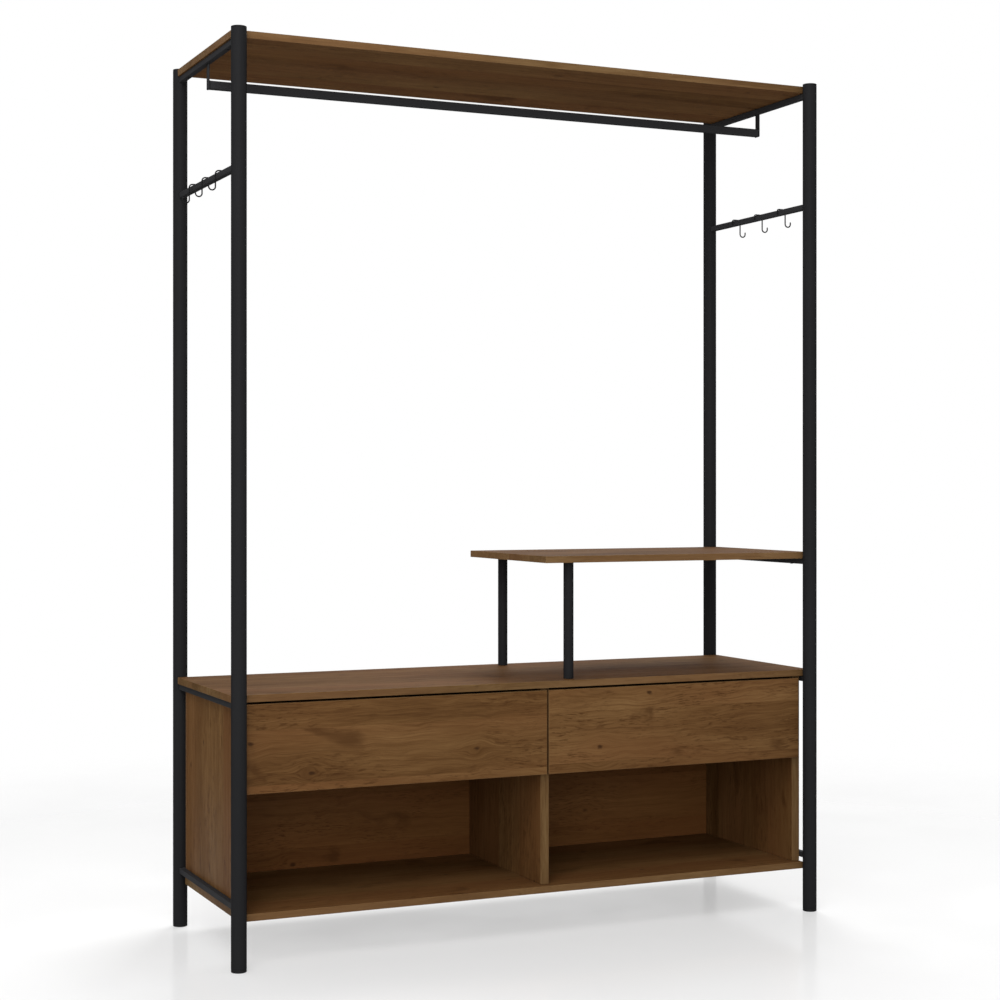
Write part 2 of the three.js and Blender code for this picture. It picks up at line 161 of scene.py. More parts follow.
class Tree:
    """A material's or a world's node tree, with short calls for the nodes used here."""

    def __init__(self, owner, shader):
        owner.use_nodes = True
        self.owner = owner
        self.nodes = owner.node_tree.nodes
        self.links = owner.node_tree.links
        self.shader = self.nodes[shader]

    def put(self, socket, value):
        if isinstance(value, bpy.types.NodeSocket):
            self.links.new(value, socket)
        else:
            socket.default_value = value

    def set(self, **values):
        """Sets sockets on the shader, as base_color=... for Base Color."""
        for name, value in values.items():
            self.put(self.shader.inputs[SHADER_SOCKETS[name]], value)

    def node(self, kind, inputs, output=0, **settings):
        made = self.nodes.new(kind)
        for name, value in settings.items():
            setattr(made, name, value)
        for name, value in inputs.items():
            self.put(made.inputs[name], value)
        return made.outputs[output]

    def math(self, operation, first, second):
        return self.node("ShaderNodeMath", {0: first, 1: second}, operation=operation)

    def vector_math(self, operation, first, second):
        return self.node("ShaderNodeVectorMath", {0: first, 1: second}, operation=operation)

    def noise(self, place, stretch, detail=1, roughness=0.5, distortion=0.0):
        """Noise around one half. The stretch is how many of its features a metre holds, on each axis."""
        inputs = {"Vector": self.vector_math("MULTIPLY", place, stretch), "Scale": 1.0}
        inputs.update({"Detail": detail, "Roughness": roughness, "Distortion": distortion})
        return self.node("ShaderNodeTexNoise", inputs)

    def remap(self, value, low, high, new_low=0.0, new_high=1.0):
        """Takes low..high to new_low..new_high, held at both ends."""
        inputs = {"Value": value, "From Min": low, "From Max": high}
        inputs.update({"To Min": new_low, "To Max": new_high})
        return self.node("ShaderNodeMapRange", inputs, interpolation_type="SMOOTHSTEP")

    def mixed(self, factor, first, second, blend="MIX"):
        """Two colours mixed."""
        inputs = {0: factor, 6: first, 7: second}
        return self.node("ShaderNodeMix", inputs, output=2, data_type="RGBA", blend_type=blend)

    def between(self, factor, first, second):
        """Two numbers mixed."""
        return self.node("ShaderNodeMix", {0: factor, 2: first, 3: second})

    def ramp(self, value, stops):
        """The colour at value, between (position, colour) stops."""
        made = self.nodes.new("ShaderNodeValToRGB")
        elements = made.color_ramp.elements
        while len(elements) < len(stops):
            elements.new(0.5)
        for element, (position, colour) in zip(elements, stops):
            element.position = position
            element.color = colour
        self.put(made.inputs[0], value)
        return made.outputs[0]

    def weighted(self, parts):
        """The sum of noise values, each less its middle and times its weight, around one half."""
        total = 0.5
        for value, weight in parts:
            share = self.math("MULTIPLY", self.math("SUBTRACT", value, 0.5), weight)
            total = self.math("ADD", total, share)
        return total

    def bump(self, height, distance, strength):
        """Raises the shader's surface by height, in 0..1, times distance."""
        inputs = {"Height": height, "Distance": distance, "Strength": strength}
        self.put(self.shader.inputs["Normal"], self.node("ShaderNodeBump", inputs))

    def ray(self, kind):
        """1 for rays of a kind, as Is Camera Ray, and 0 for others."""
        return self.node("ShaderNodeLightPath", {}, output=kind)

    def place(self):
        """The piece's own coordinates, in metres."""
        return self.node("ShaderNodeTexCoord", {}, output="Object")

    def edge(self):
        """1 on outer edges and corners, 0 on flat faces and in hollows."""
        pointiness = self.node("ShaderNodeNewGeometry", {}, output="Pointiness")
        return self.remap(pointiness, *EDGE_POINTINESS)


EDGE_POINTINESS = (0.53, 0.62)  # where an edge starts, and where it is at its strongest
SHADER_SOCKETS = {
    "base_color": "Base Color",
    "metallic": "Metallic",
    "roughness": "Roughness",
    "specular": "Specular IOR Level",
    "emission_color": "Emission Color",
    "emission": "Emission Strength",
}


def material_tree(name):
    return Tree(bpy.data.materials.new(name), "Principled BSDF")


def srgb(red, green, blue):
    """A screen colour, 0..255, as the linear colour that a shader takes."""
    linear = []
    for value in (red, green, blue):
        share = value / 255
        linear.append(share / 12.92 if share <= 0.04045 else ((share + 0.055) / 1.055) ** 2.4)
    return (*linear, 1)


# ---------------------------------------------------------------- camera, floor and light


def add_object(name, data):
    """Links a new object of that data to the scene."""
    made = bpy.data.objects.new(name, data)
    bpy.context.scene.collection.objects.link(made)
    return made


def add_camera():
    data = bpy.data.cameras.new("camera")
    data.sensor_width = CAMERA_SENSOR
    data.lens = CAMERA_LENS
    data.shift_y = CAMERA_SHIFT_Y
    camera = add_object("camera", data)
    camera.location = CAMERA_PLACE
    camera.rotation_euler = (math.radians(90), 0, CAMERA_TURN)
    bpy.context.scene.camera = camera


def floor_material():
    """Pale and glossy near the object, and clear further away, so that the white room shows."""
    tree = material_tree("pale_floor")
    place = tree.place()
    smudges = tree.noise(place, (3, 3, 3), detail=3)
    glow = tree.math("MULTIPLY", tree.ray("Is Camera Ray"), FLOOR_GLOW)
    tree.set(base_color=FLOOR_COLOUR, specular=FLOOR_SPECULAR)
    tree.set(emission_color=(1, 1, 1, 1), emission=glow)
    tree.set(roughness=tree.remap(smudges, 0.3, 0.7, *FLOOR_ROUGHNESS))
    distance = tree.node("ShaderNodeVectorMath", {0: place}, output="Value", operation="LENGTH")
    clear = tree.node("ShaderNodeBsdfTransparent", {})
    inputs = {0: tree.remap(distance, *FLOOR_FADE), 1: tree.shader.outputs[0], 2: clear}
    mixed = tree.node("ShaderNodeMixShader", inputs)
    tree.links.new(mixed, tree.nodes["Material Output"].inputs["Surface"])
    return tree.owner


def add_floor():
    bm = bmesh.new()
    bmesh.ops.create_circle(bm, cap_ends=True, segments=ROUND_SIDES, radius=FLOOR_RADIUS)
    mesh = bpy.data.meshes.new("floor")
    bm.to_mesh(mesh)
    bm.free()
    mesh.materials.append(floor_material())
    add_object("floor", mesh)


def add_world():
    """A pale room: white to the camera, less than white as light, and dimmer still in a gloss."""
    tree = Tree(bpy.data.worlds.new("studio"), "Background")
    bpy.context.scene.world = tree.owner
    direction = tree.node("ShaderNodeTexCoord", {}, output="Generated")
    height = tree.node("ShaderNodeSeparateXYZ", {0: direction}, output="Z")
    greys = [(position, (level, level, level, 1)) for position, level in MIRROR_STOPS]
    light = tree.between(tree.ray("Is Glossy Ray"), AMBIENT, tree.ramp(height, greys))
    strength = tree.between(tree.ray("Is Camera Ray"), light, 1.0)
    tree.shader.inputs["Color"].default_value = (1, 1, 1, 1)
    tree.put(tree.shader.inputs["Strength"], strength)


def add_area_light(name, place, target, size, power):
    data = bpy.data.lights.new(name, "AREA")
    data.shape = "SQUARE"
    data.size = size
    data.energy = power
    light = add_object(name, data)
    light.location = place
    light.rotation_euler = (Vector(target) - Vector(place)).to_track_quat("-Z", "Y").to_euler()


def add_studio():
    bpy.context.scene.view_settings.view_transform = "Standard"
    add_camera()
    add_floor()
    add_world()
    for name, (place, target, size, power) in LIGHTS.items():
        add_area_light(name, place, target, size, power)


# ---------------------------------------------------------------- paint, plastic and steel
PAINT_BLACK = (19, 19, 20)
WIRE_BLACK = (26, 26, 27)
PAINT_LIFT = 5  # how much lighter the paint's clouds are
WORN_BLACK = (66, 66, 68)  # thin paint on an edge
PAINT_ROUGHNESS = 0.5
WIRE_ROUGHNESS = 0.38


def paint(name, level, roughness):
    """Powder coat on steel: black and satin, with orange peel and thinner paint on the edges."""
    tree = material_tree(name)
    place = tree.place()
    cloud = tree.noise(place, (9, 9, 2.5), detail=4)
    peel = tree.noise(place, (620, 620, 620), detail=2)
    lighter = [value + PAINT_LIFT for value in level]
    body = tree.mixed(tree.remap(cloud, 0.3, 0.7), srgb(*level), srgb(*lighter))
    worn = tree.mixed(tree.math("MULTIPLY", tree.edge(), 0.5), body, srgb(*WORN_BLACK))
    tree.set(base_color=worn, specular=0.03)
    tree.set(roughness=tree.remap(cloud, 0.25, 0.75, roughness - 0.06, roughness + 0.08))
    tree.bump(peel, 0.00004, 0.6)
    return tree.owner


def moulded_plastic():
    """The caps and feet: matt black plastic with a fine grained skin."""
    tree = material_tree("black_plastic")
    place = tree.place()
    grain = tree.noise(place, (1500, 1500, 1500), detail=2)
    cloud = tree.noise(place, (60, 60, 60), detail=3)
    tree.set(base_color=tree.mixed(cloud, srgb(20, 20, 21), srgb(27, 27, 28)), specular=0.25)
    tree.set(roughness=tree.remap(grain, 0.3, 0.7, 0.5, 0.66))
    tree.bump(grain, 0.00003, 0.8)
    return tree.owner


def bright_steel(name, along):
    """Zinc-plated steel, brushed along one axis, with a little dull bloom."""
    tree = material_tree(name)
    place = tree.place()
    stretch = [700, 700, 700]
    stretch[along] = 18
    brushed = tree.noise(place, stretch, detail=2)
    bloom = tree.noise(place, (55, 55, 55), detail=4)
    tree.set(base_color=tree.mixed(bloom, srgb(150, 153, 156), srgb(186, 188, 190)), metallic=1.0)
    worn = tree.remap(bloom, 0.3, 0.7, 0.26, 0.42)
    tree.set(roughness=tree.math("ADD", worn, tree.remap(brushed, 0.3, 0.7, -0.05, 0.06)))
    tree.bump(brushed, 0.00002, 0.7)
    return tree.owner


# ---------------------------------------------------------------- printed wood and other board
WOOD_DARK = srgb(66, 40, 18)
WOOD_BROWN = srgb(93, 64, 35)
WOOD_LIGHT = srgb(109, 79, 47)
WOOD_PALE = srgb(128, 97, 61)
WOOD_RED = srgb(108, 70, 41)
KNOT_BROWN = srgb(42, 23, 11)
WOOD_STOPS = [(0.15, WOOD_DARK), (0.4, WOOD_BROWN), (0.6, WOOD_LIGHT), (0.85, WOOD_PALE)]

PLAIN = (1, 1, 1)  # a tint that changes nothing
TAPE_TINT = (1.12, 1.3, 1.52)  # the edge tape is a little paler and duller than the print
BACK_PAINTED_SHADE_TINT = (1, 0.84, 0.71)  # painted shade: the back panel's print is made darker and redder, standing in for the warm light bounced around inside the niche
TAPE_FIGURE = 0.25  # how strong the dark figure is on the edge tape

PLANK_WIDTH = 0.112
PLANK_SLIDE = 9.0  # at most, along the grain, from plank to plank
KNOTS_A_METRE = (3.1, 5.0)  # along the grain and across it
KNOT_REACH = 0.22  # how far the grain parts around a knot, as a share of the knots' spacing
SEED_STEP = (3.7, 1.9, 0.83)  # from one board's piece of the print to the next

# How many features of each noise a metre holds: along the grain, across it and through the board.
SWAY = (1.3, 4.0, 4.0)
RIPPLE = (15, 26, 26)
BANDS = (0.8, 17, 17)
PATCHES = (2.6, 8, 8)
STREAKS = (6, 105, 105)
FIBRES = (20, 850, 850)
HUE = (1.6, 5.1, 5.1)
CLUSTERS = (5, 15, 15)
DASHES = (44, 330, 330)
LINES = (2.4, 300, 300)
FLAMES = (8, 14, 14)
KNOT_RIM = (60, 110, 110)


def grain_place(tree, axes, seed):
    """Coordinates with x along the grain, y across it in the board's face and z through the board."""
    split = tree.nodes.new("ShaderNodeSeparateXYZ")
    tree.put(split.inputs[0], tree.place())
    parts = {index: split.outputs[axis.upper()] for index, axis in enumerate(axes)}
    turned_place = tree.node("ShaderNodeCombineXYZ", parts)
    return tree.vector_math("ADD", turned_place, [seed * step for step in SEED_STEP])


def plank_place(tree, grain):
    """Slides each plank of the print along the grain. Also gives a chance value for each plank."""
    across = tree.node("ShaderNodeSeparateXYZ", {0: grain}, output="Y")
    row = tree.math("FLOOR", tree.math("DIVIDE", across, PLANK_WIDTH), 0.0)
    chance = tree.node("ShaderNodeTexWhiteNoise", {"W": row}, noise_dimensions="1D")
    slide = tree.node("ShaderNodeCombineXYZ", {"X": tree.math("MULTIPLY", chance, PLANK_SLIDE)})
    return tree.vector_math("ADD", grain, slide), chance


def knot_field(tree, grain):
    """The distance to the nearest knot, and how far the grain parts to the side around it."""
    knots = tree.nodes.new("ShaderNodeTexVoronoi")
    knots.voronoi_dimensions = "2D"
    place = tree.vector_math("MULTIPLY", grain, (*KNOTS_A_METRE, 0))
    tree.put(knots.inputs["Vector"], place)
    tree.put(knots.inputs["Scale"], 1.0)
    distance = knots.outputs["Distance"]
    to_knot = tree.vector_math("SUBTRACT", knots.outputs["Position"], place)
    aside = tree.node("ShaderNodeSeparateXYZ", {0: to_knot}, output="Y")
    aside = tree.math("DIVIDE", aside, KNOTS_A_METRE[1])
    nearness = tree.remap(distance, 0.0, KNOT_REACH, 0.85, 0.0)
    return distance, tree.math("MULTIPLY", aside, nearness)


def bent_place(tree, grain, parting, figure):
    """The lines of the grain sway slowly, ripple a little, and part around each knot."""
    sway = tree.math("SUBTRACT", tree.noise(grain, SWAY), 0.5)
    ripple = tree.noise(grain, RIPPLE)
    shift = tree.math("MULTIPLY", sway, 0.06)
    shift = tree.math("ADD", shift, tree.math("MULTIPLY", ripple, 0.014 * figure))
    shift = tree.math("ADD", shift, parting)
    return tree.vector_math("ADD", grain, tree.node("ShaderNodeCombineXYZ", {"Y": shift}))


def ground_tone(tree, bent, fibres, chance):
    """How light the print's ground is: bands and patches, fine streaks and fibres, and the plank."""
    bands = tree.noise(bent, BANDS, detail=2)
    patches = tree.noise(bent, PATCHES, detail=2)
    streaks = tree.noise(bent, STREAKS, detail=3, roughness=0.6)
    parts = [(bands, 0.36), (patches, 0.52), (streaks, 0.52), (fibres, 0.5), (chance, 0.17)]
    return tree.weighted(parts)


def dark_marks(tree, grain, bent, figure):
    """Where the print is marked: short dark dashes in clusters, and long thin lines."""
    cluster = tree.remap(tree.noise(grain, CLUSTERS, detail=2), 0.4, 0.62, 0.1, 1.0)
    dashes = tree.noise(bent, DASHES, detail=2, roughness=0.6)
    dashes = tree.math("MULTIPLY", tree.remap(dashes, 0.5, 0.68), cluster)
    lines = tree.remap(tree.noise(bent, LINES), 0.6, 0.74, 0.0, 0.4)
    return tree.math("MAXIMUM", tree.math("MULTIPLY", dashes, 0.78 * figure), lines)


def knot_mask(tree, grain, distance, figure):
    """Where a knot is, with a ragged rim."""
    ragged = tree.math("MULTIPLY", tree.noise(grain, KNOT_RIM, detail=2), 0.05)
    return tree.remap(tree.math("ADD", distance, ragged), 0.03, 0.055, 0.8 * figure, 0.0)


def wood(name, axes, seed, figure=1.0, tint=PLAIN):
    """Printed laminate: brown oak with short wavy grain, a few small knots and dark flames.

    The figure is how strong the dark marks are, and the tint multiplies the whole print.
    """
    tree = material_tree(name)
    grain, chance = plank_place(tree, grain_place(tree, axes, seed))
    knot_distance, parting = knot_field(tree, grain)
    bent = bent_place(tree, grain, parting, figure)

    fibres = tree.noise(bent, FIBRES, detail=2)
    tone = ground_tone(tree, bent, fibres, chance)
    redness = tree.remap(tree.noise(bent, HUE), 0.35, 0.65, 0.0, 0.45)
    colour = tree.mixed(redness, tree.ramp(tone, WOOD_STOPS), WOOD_RED)

    marks = dark_marks(tree, grain, bent, figure)
    colour = tree.mixed(marks, colour, WOOD_DARK)
    flames = tree.noise(bent, FLAMES, detail=4, distortion=0.6)
    colour = tree.mixed(tree.remap(flames, 0.6, 0.74, 0.0, 0.7 * figure), colour, WOOD_DARK)
    colour = tree.mixed(knot_mask(tree, grain, knot_distance, figure), colour, KNOT_BROWN)
    colour = tree.mixed(tree.math("MULTIPLY", tree.edge(), 0.2), colour, WOOD_PALE)
    if tint != PLAIN:
        colour = tree.mixed(1.0, colour, (*tint, 1), "MULTIPLY")

    tree.set(base_color=colour, specular=0.05)
    tree.set(roughness=tree.remap(tone, 0.2, 0.8, 0.5, 0.38))
    relief = tree.math("SUBTRACT", fibres, tree.math("MULTIPLY", marks, 0.8))
    tree.bump(relief, 0.00012, 0.7)
    return tree.owner


def box_board(name, axes, seed):
    """The drawer boxes' plainer board: one quiet brown print with a fine straight grain."""
    tree = material_tree(name)
    grain = grain_place(tree, axes, seed)
    bands = tree.noise(grain, (0.9, 30, 30), detail=2)
    fibres = tree.noise(grain, (14, 700, 700), detail=2)
    tone = tree.weighted([(bands, 0.6), (fibres, 0.5)])
    colour = tree.ramp(tone, [(0.2, srgb(92, 65, 41)), (0.8, srgb(124, 94, 64))])
    tree.set(base_color=colour, specular=0.26, roughness=tree.remap(fibres, 0.3, 0.7, 0.55, 0.65))
    tree.bump(fibres, 0.00008, 0.6)
    return tree.owner


def hardboard():
    """The bare rear face of the back panel: pressed brown fibre."""
    tree = material_tree("hardboard")
    place = tree.place()
    fleck = tree.noise(place, (420, 420, 420), detail=4, roughness=0.65, distortion=0.8)
    cloud = tree.noise(place, (12, 12, 12), detail=3)
    tone = tree.weighted([(fleck, 1.0), (cloud, 0.5)])
    tree.set(base_color=tree.ramp(tone, [(0.2, srgb(84, 60, 40)), (0.8, srgb(122, 92, 64))]))
    tree.set(specular=0.2, roughness=tree.remap(fleck, 0.3, 0.7, 0.68, 0.82))
    tree.bump(fleck, 0.00015, 0.7)
    return tree.owner


# ---------------------------------------------------------------- mesh tools


def add_piece(name, bm, materials, body, nodes=(), sharp=SHARP):
    """Makes a piece of the mesh that rides on a body and stands for the CAD nodes."""
    for face in bm.faces:
        face.smooth = True
    for edge in bm.edges:
        edge.smooth = not (len(edge.link_faces) == 2 and edge.calc_face_angle() > sharp)
    mesh = bpy.data.meshes.new(name)
    bm.to_mesh(mesh)
    bm.free()
    for material in materials:
        mesh.materials.append(material)
    piece = add_object(name, mesh)
    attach(piece, body)
    if nodes:
        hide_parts(*nodes)
    return piece


def stand_for(node, bm, materials, sharp=SHARP):
    """The finished piece of one CAD node, on that node's own body."""
    name = f"{node}_finished"
    return add_piece(name, bm, materials, BODY_OF[node], nodes=[node], sharp=sharp)


def join_rings(bm, rings, closed=False):
    """A skin over rings of points. Closed joins the last ring to the first; open ends are filled."""
    rows = [[bm.verts.new(point) for point in ring] for ring in rings]
    pairs = list(zip(rows, rows[1:]))
    if closed:
        pairs.append((rows[-1], rows[0]))
    count = len(rows[0])
    for low, high in pairs:
        for index in range(count):
            after = (index + 1) % count
            bm.faces.new((low[index], low[after], high[after], high[index]))
    if not closed:
        bm.faces.new(list(reversed(rows[0])))
        bm.faces.new(rows[-1])


def face_outwards(bm):
    bmesh.ops.recalc_face_normals(bm, faces=bm.faces[:])


def turned(profile, centre):
    """Rings of a solid of revolution about an upright axis: one ring for each (radius, z)."""
    rings = []
    for radius, z in profile:
        ring = []
        for step in range(ROUND_SIDES):
            angle = 2 * math.pi * step / ROUND_SIDES
            x = centre[0] + radius * math.cos(angle)
            y = centre[1] + radius * math.sin(angle)
            ring.append((x, y, z))
        rings.append(ring)
    return rings


def arc(centre, radius, start, end, steps):
    """Points on a circle's arc from start to end, in degrees, both included."""
    points = []
    for step in range(steps + 1):
        angle = math.radians(start + (end - start) * step / steps)
        points.append((centre[0] + radius * math.cos(angle), centre[1] + radius * math.sin(angle)))
    return points


def rounded_rectangle(width, height, corner, steps=CORNER_STEPS):
    """A closed outline around the origin, anticlockwise."""
    outline = []
    reach_x = width / 2 - corner
    reach_y = height / 2 - corner
    for index, (side_x, side_y) in enumerate([(1, 1), (-1, 1), (-1, -1), (1, -1)]):
        centre = (side_x * reach_x, side_y * reach_y)
        outline += arc(centre, corner, 90 * index, 90 * index + 90, steps)
    return outline


def middle_of(node):
    low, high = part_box(node)
    return (low + high) / 2


def rounded_box(low, high, rounding):
    """A block with all its edges rounded, as a new bmesh."""
    bm = bmesh.new()
    bmesh.ops.create_cube(bm, size=1.0)
    size = high - low
    for vertex in bm.verts:
        vertex.co = low + Vector([(c + 0.5) * s for c, s in zip(vertex.co, size)])
    edges = bm.edges[:]
    bmesh.ops.bevel(bm, geom=edges, offset=rounding, segments=ROUND_STEPS, profile=0.5, affect="EDGES")
    return bm


def sweep(bm, points, radii, sides, up, closed=False):
    """A round bar along points, with a radius at each. The vector up is never along the bar."""
    rings = []
    count = len(points)
    for index, point in enumerate(points):
        before = points[index - 1] if closed or index else point
        after = points[(index + 1) % count] if closed or index < count - 1 else point
        ahead = (Vector(after) - Vector(before)).normalized()
        across = ahead.cross(Vector(up)).normalized()
        over = across.cross(ahead)
        ring = []
        for side in range(sides):
            angle = 2 * math.pi * side / sides
            arm = across * math.cos(angle) + over * math.sin(angle)
            ring.append(Vector(point) + arm * radii[index])
        rings.append(ring)
    join_rings(bm, rings, closed=closed)


# ---------------------------------------------------------------- posts, caps and feet
POST_LOW, POST_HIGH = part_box("post_front_left")
POST_RADIUS = (POST_HIGH.x - POST_LOW.x) / 2
POST_Y = abs(middle_of("post_front_left").y)


def tube_profile(radius, low_z, high_z):
    """A tube wall's section, once around, with its rims just rounded."""
    inner = radius - TUBE_WALL
    rim = TUBE_RIM_ROUND
    return [
        (radius - rim, low_z),
        (radius, low_z + rim),
        (radius, high_z - rim),
        (radius - rim, high_z),
        (inner + rim, high_z),
        (inner, high_z - rim),
        (inner, low_z + rim),
        (inner + rim, low_z),
    ]


def add_round_tube(node, material):
    low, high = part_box(node)
    radius = (high.x - low.x) / 2
    bm = bmesh.new()
    join_rings(bm, turned(tube_profile(radius, low.z, high.z), middle_of(node)), closed=True)
    face_outwards(bm)
    stand_for(node, bm, [material])


def tube_end_profile(length, flange, rim, crown):
    """(radius, height) from the plug's inner end, out over the flange, to the middle of the face."""
    plug_radius = POST_RADIUS - TUBE_WALL - PLUG_PLAY
    seat = length - flange + PLUG_PLAY
    profile = [
        (END_FLAT, 0),
        (plug_radius - PLUG_CHAMFER, 0),
        (plug_radius, PLUG_CHAMFER),
        (plug_radius, seat),
        (POST_RADIUS - FLANGE_INSET, seat),
    ]
    rim_centre = (POST_RADIUS - rim, length - crown - rim)
    profile += arc(rim_centre, rim, 0, 90, RIM_STEPS)
    for step in range(1, CROWN_STEPS + 1):
        share = step / CROWN_STEPS
        radius = (POST_RADIUS - rim) * (1 - share) + END_FLAT * share
        profile.append((radius, length - crown * (1 - share) ** 2))
    return profile


def add_tube_end(node, material, upwards, rim, crown):
    """A cap or a foot: a plug, a flange with a rounded rim, and a slightly crowned face."""
    low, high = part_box(node)
    post_low, post_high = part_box(f"post_{node.split('_', 1)[1]}")
    start = low.z if upwards > 0 else high.z
    flange = high.z - post_high.z if upwards > 0 else post_low.z - low.z
    profile = tube_end_profile(high.z - low.z, flange, rim, crown)
    placed = [(radius, start + upwards * height) for radius, height in profile]
    bm = bmesh.new()
    join_rings(bm, turned(placed, middle_of(node)))
    face_outwards(bm)
    stand_for(node, bm, [material])


# ---------------------------------------------------------------- rails and clothes rod


def square_tube_outlines(size):
    """The outer and the inner outline of a square tube's section."""
    inner_size = size - 2 * TUBE_WALL
    outer = rounded_rectangle(size, size, RAIL_CORNER)
    inner = rounded_rectangle(inner_size, inner_size, RAIL_CORNER - TUBE_WALL)
    return outer, inner


def add_weld(bm, outline, inside):
    """A rippled bead along an outline, such as a rail's end where it meets the post."""
    points = []
    for index, start in enumerate(outline):
        end = outline[(index + 1) % len(outline)]
        length = (Vector(end) - Vector(start)).length
        steps = max(1, round(length / WELD_RADIUS))
        points += [Vector(start).lerp(Vector(end), step / steps) for step in range(steps)]
    radii = []
    for index in range(len(points)):
        turn = 2 * math.pi * WELD_RIPPLES * index / len(points)
        radii.append(WELD_RADIUS + WELD_RIPPLE * math.sin(turn))
    sweep(bm, points, radii, WELD_SIDES, inside, closed=True)


def add_side_rail(node, material):
    """A square tube from the front post to the back post, shaped to both and welded on."""
    low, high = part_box(node)
    centre = middle_of(node)

    def rail_end(outline, side):
        ring = []
        for x, z in outline:
            y = side * (POST_Y - math.sqrt(POST_RADIUS**2 - x**2))
            ring.append((centre.x + x, y, centre.z + z))
        return ring

    outer, inner = square_tube_outlines(high.x - low.x)
    bm = bmesh.new()
    rings = [rail_end(outer, -1), rail_end(outer, 1), rail_end(inner, 1), rail_end(inner, -1)]
    join_rings(bm, rings, closed=True)
    for side in (-1, 1):
        add_weld(bm, rail_end(outer, side), (0, side, 0))
    face_outwards(bm)
    stand_for(node, bm, [material])


def add_clothes_rod(material):
    """A square tube from one hanger to the other, welded to both."""
    low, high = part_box("clothes_rod")
    centre = middle_of("clothes_rod")

    def section(outline, x):
        return [(x, centre.y + y, centre.z + z) for y, z in outline]

    outer, inner = square_tube_outlines(high.z - low.z)
    bm = bmesh.new()
    rings = [section(outer, low.x), section(outer, high.x)]
    rings += [section(inner, high.x), section(inner, low.x)]
    join_rings(bm, rings, closed=True)
    for end, inwards in ((low.x, 1), (high.x, -1)):
        add_weld(bm, section(outer, end), (inwards, 0, 0))
    face_outwards(bm)
    stand_for("clothes_rod", bm, [material])


def add_rod_hanger(node, material):
    """The strap at one end of the clothes rod, welded under its top rail."""
    low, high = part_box(node)
    centre = middle_of(node)
    bm = rounded_box(low, high, HANGER_ROUND)
    length = high.y - low.y - 2 * HANGER_WELD_INSET
    outline = rounded_rectangle(high.x - low.x, length, HANGER_ROUND)
    add_weld(bm, [(centre.x + x, centre.y + y, high.z) for x, y in outline], (0, 0, 1))
    face_outwards(bm)
    stand_for(node, bm, [material])


# ---------------------------------------------------------------- S-hooks


def hook_line(node, rail, wire):
    """The middle of the wire as (outwards, up) from the rail's middle, with its ends a radius short."""
    low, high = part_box(node)
    reach_in = min(abs(low.x), abs(high.x)) - abs(rail.x) + wire
    top = high.z - rail.z - wire
    inner_bend = (reach_in + HOOK_INNER_RADIUS, top - HOOK_INNER_RADIUS)
    outer_bend = (HOOK_SHANK_X - HOOK_BEND_RADIUS, top - HOOK_BEND_RADIUS)
    low_bend = (HOOK_SHANK_X + HOOK_BEND_RADIUS, low.z - rail.z + wire + HOOK_BEND_RADIUS)
    quarter = HOOK_ARC_STEPS // 2
    line = [(reach_in, HOOK_TAIL_Z + wire)]
    line += arc(inner_bend, HOOK_INNER_RADIUS, 180, 90, quarter)
    line += arc(outer_bend, HOOK_BEND_RADIUS, 90, 0, quarter)
    line += arc(low_bend, HOOK_BEND_RADIUS, 180, 360, HOOK_ARC_STEPS)
    line.append((low_bend[0] + HOOK_BEND_RADIUS, low_bend[1] + HOOK_TIP - wire))
    return line


def add_hook(node, material):
    """A bent wire with round ends."""
    low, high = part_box(node)
    rail = middle_of(f"hook_rail_{node.split('_')[2]}")
    wire = (high.y - low.y) / 2
    side = 1 if rail.x > 0 else -1
    y = middle_of(node).y
    line = hook_line(node, rail, wire)
    points = [Vector((rail.x + side * x, y, rail.z + z)) for x, z in line]
    start = (points[0] - points[1]).normalized()
    end = (points[-1] - points[-2]).normalized()
    head = [points[0] + start * wire * math.sin(angle) for angle in HOOK_DOME]
    tail = [points[-1] + end * wire * math.sin(angle) for angle in reversed(HOOK_DOME)]
    dome = [wire * math.cos(angle) for angle in HOOK_DOME]
    radii = dome + [wire] * len(points) + list(reversed(dome))
    bm = bmesh.new()
    sweep(bm, head + points + tail, radii, HOOK_SIDES, (0, 1, 0))
    face_outwards(bm)
    stand_for(node, bm, [material], sharp=SHARP_ON_HOOKS)


# ---------------------------------------------------------------- boards
# Each board's axes: along its grain, across the grain in its face, and through it.
LYING = "xyz"
FRONTAL = "xzy"
UPRIGHT = "zyx"
SIDEWAYS = "yzx"
WOOD_BOARDS = {
    "top_shelf": LYING,
    "bench_top": LYING,
    "base_board": LYING,
    "side_shelf": LYING,
    "side_panel_left": UPRIGHT,
    "side_panel_right": UPRIGHT,
    "partition": UPRIGHT,
}

# Each seed picks another piece of the print. The boards above have 1, 2, 3 and so on.
TAPE_SEED_STEP = 0.37
DRAWER_SEEDS = {"left_drawer": 8, "right_drawer": 9}
BACK_PANEL_SEED = 11
BOX_SIDE_SEED = 3
BOX_CROSS_SEED = 5
BOX_FLOOR_SEED = 7


def flat_axis(low, high):
    """The axis that a board is thinnest along."""
    size = high - low
    return min(range(3), key=lambda axis: size[axis])


def finish_board(node, bm, materials):
    """Puts the first material on a board's faces and the last on its edges, and makes the piece."""
    thin = flat_axis(*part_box(node))
    bm.normal_update()
    for face in bm.faces:
        face.material_index = 0 if abs(face.normal[thin]) > FACING else len(materials) - 1
    piece = stand_for(node, bm, materials, sharp=SHARP_ON_BOARDS)
    piece.modifiers.new("even_normals", "WEIGHTED_NORMAL").keep_sharp = True
    return piece


def add_board(node, materials, rounding=BOARD_ROUND):
    """A board with all its edges rounded."""
    return finish_board(node, rounded_box(*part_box(node), rounding), materials)


